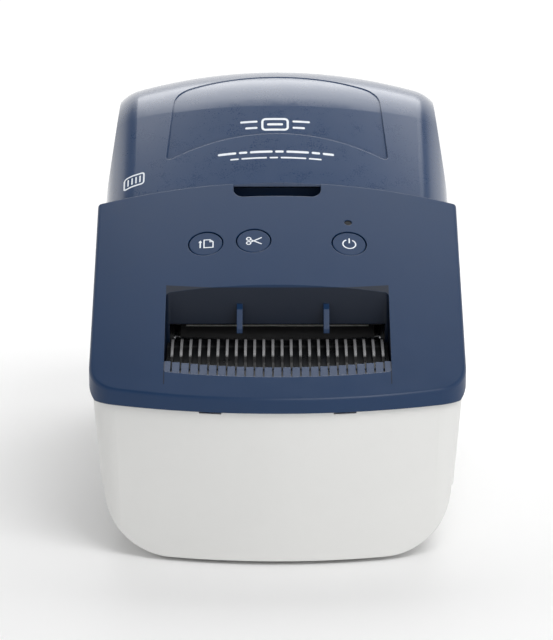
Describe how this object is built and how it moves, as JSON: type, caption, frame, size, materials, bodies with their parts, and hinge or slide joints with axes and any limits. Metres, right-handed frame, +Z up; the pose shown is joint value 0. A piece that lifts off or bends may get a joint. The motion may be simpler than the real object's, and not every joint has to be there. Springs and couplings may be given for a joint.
{
  "type": "label maker",
  "caption": "Desktop label maker: white body with rounded flanks, sloped navy front with label window and round buttons, and a hinged navy roll lid.",
  "frame": {"origin": "under the middle of the machine, on the surface it stands on", "axes": "+Z up, front (label window) towards -Y, +X to the machine's left as it faces the user, the viewer's right"},
  "size_m": [0.125, 0.213, 0.1397],
  "materials": {
    "white_shell": "fine moulded texture, satin",
    "navy_panel": "fine moulded texture, satin",
    "navy_lid": "semi-gloss moulded",
    "navy_button": "satin",
    "inner_tub": "satin",
    "black_plastic": "satin",
    "black_guide": "semi-gloss",
    "rubber": "matt",
    "platen_rubber": "ground",
    "plate_foil": "blank satin foil",
    "steel": "bright",
    "zinc_steel": "zinc plated",
    "blade_steel": "ground",
    "motor_can": "plated can",
    "aluminium": "extruded",
    "brass": "machined",
    "ceramic": "glazed ceramic",
    "white_nylon": "moulded nylon",
    "circuit_board": "solder mask",
    "spool_plastic": "satin",
    "core_card": "card tube",
    "label_paper": "coated thermal paper",
    "light_pipe": "clear",
    "transformer_core": "tape wound",
    "capacitor_sleeve": "shrink sleeve"
  },
  "bodies": {
    "casing": {"base_shell": "white_shell", "board_components": "black_plastic", "bottom_cover": "black_plastic", "button_board": "circuit_board", "button_board_screws": "steel", "capacitors": "capacitor_sleeve", "case_screws": "steel", "chassis_floor": "zinc_steel", "chassis_screws": "steel", "crank_stud": "steel", "cutter_frame": "zinc_steel", "cutter_motor": "motor_can", "entry_guide": "black_plastic", "feed_motor": "motor_can", "fixed_blade": "blade_steel", "front_panel": "navy_panel", "head_pivot_shaft": "steel", "head_spring_bar": "zinc_steel", "head_springs": "steel", "hinge_pins": "steel", "idler_stud": "steel", "inlet_pins": "brass", "label_guide": "black_guide", "label_strip": "label_paper", "left_side_plate": "zinc_steel", "left_spool": "spool_plastic", "lid_switch": "black_plastic", "light_pipe": "light_pipe", "main_board": "circuit_board", "platen_bushes": "black_plastic", "power_board": "circuit_board", "power_inlet": "black_plastic", "rating_plate": "plate_foil", "right_side_plate": "zinc_steel", "right_spool": "spool_plastic", "roll_bay": "inner_tub", "rubber_feet": "rubber", "tact_switches": "black_plastic", "transformer": "transformer_core", "usb_port": "zinc_steel"},
    "lid": {"lid": "navy_lid"},
    "feed_button": {"feed_button": "navy_button"},
    "cut_button": {"cut_button": "navy_button"},
    "power_button": {"power_button": "navy_button"},
    "platen": {"platen_shaft": "steel", "platen_rubber": "platen_rubber", "platen_gear": "white_nylon"},
    "idler": {"idler_gear": "white_nylon"},
    "motor_rotor": {"motor_pinion": "brass", "motor_shaft": "steel"},
    "roll": {"label_roll": "label_paper", "roll_core": "core_card"},
    "head": {"print_head": "ceramic", "head_heat_sink": "aluminium"},
    "crank": {"crank_gear": "white_nylon"},
    "blade": {"moving_blade": "blade_steel"},
    "cutter_rotor": {"cutter_pinion": "brass", "cutter_shaft": "steel"}
  },
  "joints": [
    {"name": "lid_hinge", "type": "hinge", "parent": "casing", "child": "lid", "pos_m": [0, 0.1038, 0.092], "axis": [-1, 0, 0], "range_deg": [0, 75]},
    {"name": "feed_button_press", "type": "slide", "parent": "casing", "child": "feed_button", "axis": [0.0842, 0.4922, -0.8664], "range_m": [0, 0.0006], "stiffness_N_per_m": 600},
    {"name": "cut_button_press", "type": "slide", "parent": "casing", "child": "cut_button", "axis": [0.0278, 0.4938, -0.8692], "range_m": [0, 0.0006], "stiffness_N_per_m": 600},
    {"name": "power_button_press", "type": "slide", "parent": "casing", "child": "power_button", "axis": [-0.0845, 0.4922, -0.8664], "range_m": [0, 0.0006], "stiffness_N_per_m": 600},
    {"name": "platen_spin", "type": "hinge", "parent": "casing", "child": "platen", "pos_m": [0, -0.046, 0.0634], "axis": [1, 0, 0], "continuous": true},
    {"name": "idler_spin", "type": "hinge", "parent": "casing", "child": "idler", "pos_m": [-0.042, -0.05604, 0.04282], "axis": [1, 0, 0], "continuous": true},
    {"name": "motor_spin", "type": "hinge", "parent": "casing", "child": "motor_rotor", "pos_m": [-0.042, -0.04789, 0.0287], "axis": [1, 0, 0], "continuous": true},
    {"name": "roll_spin", "type": "hinge", "parent": "casing", "child": "roll", "pos_m": [0, 0.038, 0.066], "axis": [1, 0, 0], "continuous": true},
    {"name": "head_lift", "type": "hinge", "parent": "casing", "child": "head", "pos_m": [0, -0.0365, 0.078], "axis": [-1, 0, 0], "range_deg": [0, 3], "stiffness_Nm_per_rad": 1.5, "springref_deg": -5.73, "deforming": ["head_springs"]},
    {"name": "crank_turn", "type": "hinge", "parent": "casing", "child": "crank", "pos_m": [0, -0.06, 0.05], "axis": [0, -1, 0], "range_deg": [0, 120]},
    {"name": "blade_slide", "type": "slide", "parent": "casing", "child": "blade", "axis": [0, 0, 1], "range_m": [0, 0.00779]},
    {"name": "cutter_spin", "type": "hinge", "parent": "casing", "child": "cutter_rotor", "pos_m": [0.01282, -0.062, 0.0426], "axis": [0, -1, 0], "range_deg": [-300.1, 0]}
  ],
  "couplings": [
    {"joint": "idler_spin", "follows": "platen_spin", "ratio": -0.9},
    {"joint": "motor_spin", "follows": "platen_spin", "ratio": 2.5714},
    {"joint": "crank_turn", "follows": "blade_slide", "rad_per_m": 268.72},
    {"joint": "cutter_spin", "follows": "blade_slide", "rad_per_m": -671.79}
  ]
}
